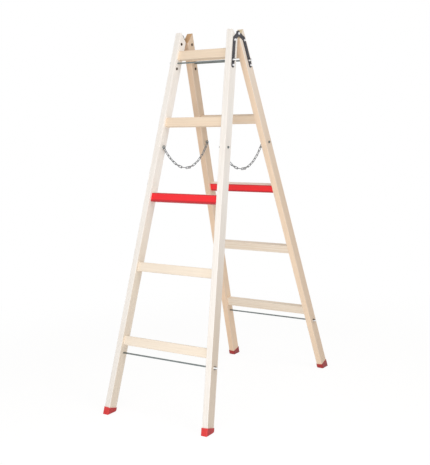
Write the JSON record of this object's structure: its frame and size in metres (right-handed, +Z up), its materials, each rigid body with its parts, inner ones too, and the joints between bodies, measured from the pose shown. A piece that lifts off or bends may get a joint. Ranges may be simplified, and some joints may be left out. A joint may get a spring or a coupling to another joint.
{
  "type": "wooden step ladder",
  "caption": "Free-standing two-sided wooden rung ladder whose sections fold on steel strap hinges, with red marker rungs, foot caps and chains that limit the spread.",
  "frame": {"origin": "on the floor, midway between the four feet, below the fold pivot", "axes": "+Z up, +X along the rungs to the right as seen from the front section, +Y from the front section towards the back section"},
  "size_m": [0.4858, 0.9284, 1.4292],
  "materials": {
    "stile_pine": "planed, bare",
    "rung_pine": "planed, bare",
    "red_rung": "red paint, satin",
    "foot_plastic": "moulded, satin",
    "strap_steel": "dark grey, satin",
    "rod_steel": "drawn, dull",
    "zinc_fastener": "zinc plated, bright",
    "chain_steel": "zinc plated, dull"
  },
  "bodies": {
    "front_frame": {"front_stile_left": "stile_pine", "front_foot_left": "foot_plastic", "front_strap_left": "strap_steel", "front_stile_right": "stile_pine", "front_foot_right": "foot_plastic", "front_strap_right": "strap_steel", "front_rung_1": "rung_pine", "front_rung_2": "rung_pine", "front_rung_3": "red_rung", "front_rung_4": "rung_pine", "front_rung_5": "rung_pine", "front_tie_rod_top": "rod_steel", "front_tie_rod_bottom": "rod_steel", "front_rod_nuts": "zinc_fastener", "front_strap_bolts": "zinc_fastener", "front_eye_bolts": "rod_steel", "hinge_rivets": "zinc_fastener"},
    "back_frame": {"back_stile_left": "stile_pine", "back_foot_left": "foot_plastic", "back_strap_left": "strap_steel", "back_stile_right": "stile_pine", "back_foot_right": "foot_plastic", "back_strap_right": "strap_steel", "back_rung_1": "rung_pine", "back_rung_2": "rung_pine", "back_rung_3": "red_rung", "back_rung_4": "rung_pine", "back_rung_5": "rung_pine", "back_tie_rod_top": "rod_steel", "back_tie_rod_bottom": "rod_steel", "back_rod_nuts": "zinc_fastener", "back_strap_bolts": "zinc_fastener", "back_eye_bolts": "rod_steel"},
    "chain_1": {"chain_left_1": "chain_steel", "chain_right_1": "chain_steel"},
    "chain_2": {"chain_left_2": "chain_steel", "chain_right_2": "chain_steel"},
    "chain_3": {"chain_left_3": "chain_steel", "chain_right_3": "chain_steel"},
    "chain_4": {"chain_left_4": "chain_steel", "chain_right_4": "chain_steel"},
    "chain_5": {"chain_left_5": "chain_steel", "chain_right_5": "chain_steel"},
    "chain_6": {"chain_left_6": "chain_steel", "chain_right_6": "chain_steel"},
    "chain_7": {"chain_left_7": "chain_steel", "chain_right_7": "chain_steel"},
    "chain_8": {"chain_left_8": "chain_steel", "chain_right_8": "chain_steel"},
    "chain_9": {"chain_left_9": "chain_steel", "chain_right_9": "chain_steel"}
  },
  "joints": [
    {"name": "fold", "type": "hinge", "parent": "front_frame", "child": "back_frame", "pos_m": [0, 0, 1.412], "axis": [1, 0, 0], "range_deg": [-32.8, 5]},
    {"name": "chain_link_1", "type": "hinge", "parent": "front_frame", "child": "chain_1", "pos_m": [0, -0.14747, 0.99012], "axis": [1, 0, 0], "range_deg": [-68.22, 10.4]},
    {"name": "chain_link_2", "type": "hinge", "parent": "chain_1", "child": "chain_2", "pos_m": [0, -0.12097, 0.95939], "axis": [1, 0, 0], "range_deg": [-9.18, 1.4]},
    {"name": "chain_link_3", "type": "hinge", "parent": "chain_2", "child": "chain_3", "pos_m": [0, -0.09022, 0.93293], "axis": [1, 0, 0], "range_deg": [-11.15, 1.7]},
    {"name": "chain_link_4", "type": "hinge", "parent": "chain_3", "child": "chain_4", "pos_m": [0, -0.05488, 0.91307], "axis": [1, 0, 0], "range_deg": [-5.9, 38.7]},
    {"name": "chain_link_5", "type": "hinge", "parent": "chain_4", "child": "chain_5", "pos_m": [0, -0.0066, 0.90198], "axis": [1, 0, 0], "range_deg": [-5.1, 33.46]},
    {"name": "chain_link_9", "type": "hinge", "parent": "back_frame", "child": "chain_9", "pos_m": [0, 0.14747, 0.99012], "axis": [1, 0, 0], "range_deg": [-10.4, 68.22]},
    {"name": "chain_link_8", "type": "hinge", "parent": "chain_9", "child": "chain_8", "pos_m": [0, 0.12097, 0.95939], "axis": [1, 0, 0], "range_deg": [-1.4, 9.18]},
    {"name": "chain_link_7", "type": "hinge", "parent": "chain_8", "child": "chain_7", "pos_m": [0, 0.09022, 0.93293], "axis": [1, 0, 0], "range_deg": [-1.7, 11.15]},
    {"name": "chain_link_6", "type": "hinge", "parent": "chain_7", "child": "chain_6", "pos_m": [0, 0.05488, 0.91307], "axis": [1, 0, 0], "range_deg": [-38.7, 5.9]}
  ],
  "couplings": [
    {"joint": "chain_link_1", "follows": "fold", "ratio": 2.08},
    {"joint": "chain_link_2", "follows": "fold", "ratio": 0.28},
    {"joint": "chain_link_3", "follows": "fold", "ratio": 0.34},
    {"joint": "chain_link_4", "follows": "fold", "ratio": -1.18},
    {"joint": "chain_link_5", "follows": "fold", "ratio": -1.02},
    {"joint": "chain_link_9", "follows": "fold", "ratio": -2.08},
    {"joint": "chain_link_8", "follows": "fold", "ratio": -0.28},
    {"joint": "chain_link_7", "follows": "fold", "ratio": -0.34},
    {"joint": "chain_link_6", "follows": "fold", "ratio": 1.18}
  ]
}
